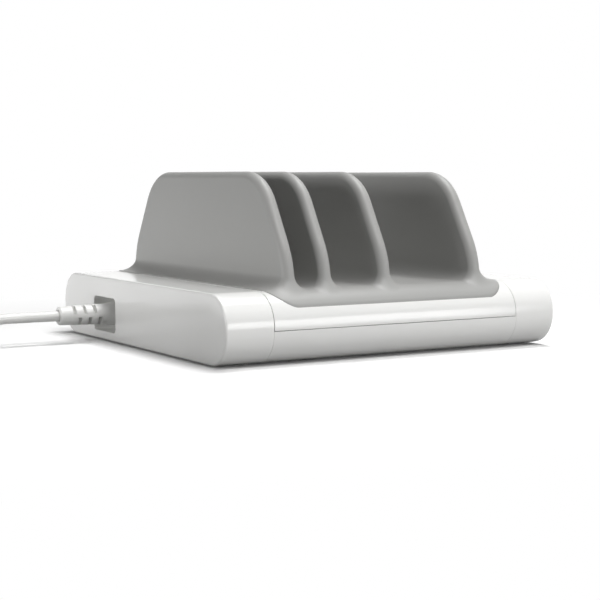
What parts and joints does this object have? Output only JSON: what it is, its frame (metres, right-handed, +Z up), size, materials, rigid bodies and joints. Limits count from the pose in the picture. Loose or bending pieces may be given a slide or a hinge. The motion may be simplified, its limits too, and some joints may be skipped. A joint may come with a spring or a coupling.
{
  "type": "charging station",
  "caption": "Low white charging station with a hinged top, four grey divider fins forming device slots, an inner cable compartment and a mains lead.",
  "frame": {"origin": "bottom centre of the station's own box, without its cord, on the surface that it stands on", "axes": "+X along the width away from the power inlet, +Y to the back where the lid is hinged, +Z up"},
  "size_m": [0.353, 0.2013, 0.0893],
  "materials": {
    "white_gloss": "high gloss white moulding",
    "soft_grey": "soft-touch satin grey",
    "pale_grey_plastic": "fine matte",
    "board_green": "solder mask",
    "port_steel": "tinned sheet",
    "black_plastic": "matte",
    "choke_grey": "ferrite grey",
    "capacitor_sleeve": "shrink sleeve",
    "foot_rubber": "matte",
    "steel": "zinc plated",
    "plug_white": "satin flexible plastic",
    "plug_metal": "nickel plated",
    "cord_white": "smooth jacket",
    "tie_grey": "matte"
  },
  "bodies": {
    "base": {"base_tray": "white_gloss", "left_end_cap": "white_gloss", "right_end_cap": "white_gloss", "electronics_cover": "pale_grey_plastic", "circuit_board": "board_green", "usb_port_1": "port_steel", "usb_port_2": "port_steel", "usb_port_3": "port_steel", "usb_port_4": "port_steel", "dc_jack": "black_plastic", "choke_coil": "choke_grey", "capacitor_left": "capacitor_sleeve", "capacitor_right": "capacitor_sleeve", "controller_chip": "black_plastic", "foot_front_left": "foot_rubber", "foot_front_right": "foot_rubber", "foot_back_left": "foot_rubber", "foot_back_right": "foot_rubber", "hinge_pin_left": "steel", "hinge_pin_right": "steel", "left_cap_screws": "steel", "right_cap_screws": "steel", "board_screws": "steel", "cover_screws": "steel", "power_plug": "plug_white", "plug_barrel": "plug_metal", "power_cord": "cord_white", "cord_coil": "cord_white", "cord_tie": "tie_grey", "adaptor_cord": "cord_white", "adaptor_case": "white_gloss", "adaptor_boot": "plug_white", "adaptor_pins": "plug_metal"},
    "lid": {"lid_shell": "white_gloss", "divider_insert": "soft_grey", "insert_screws": "steel"}
  },
  "joints": [
    {"name": "lid_hinge", "type": "hinge", "parent": "base", "child": "lid", "pos_m": [0, 0.0933, 0.018], "axis": [-1, 0, 0], "range_deg": [0, 75]}
  ]
}
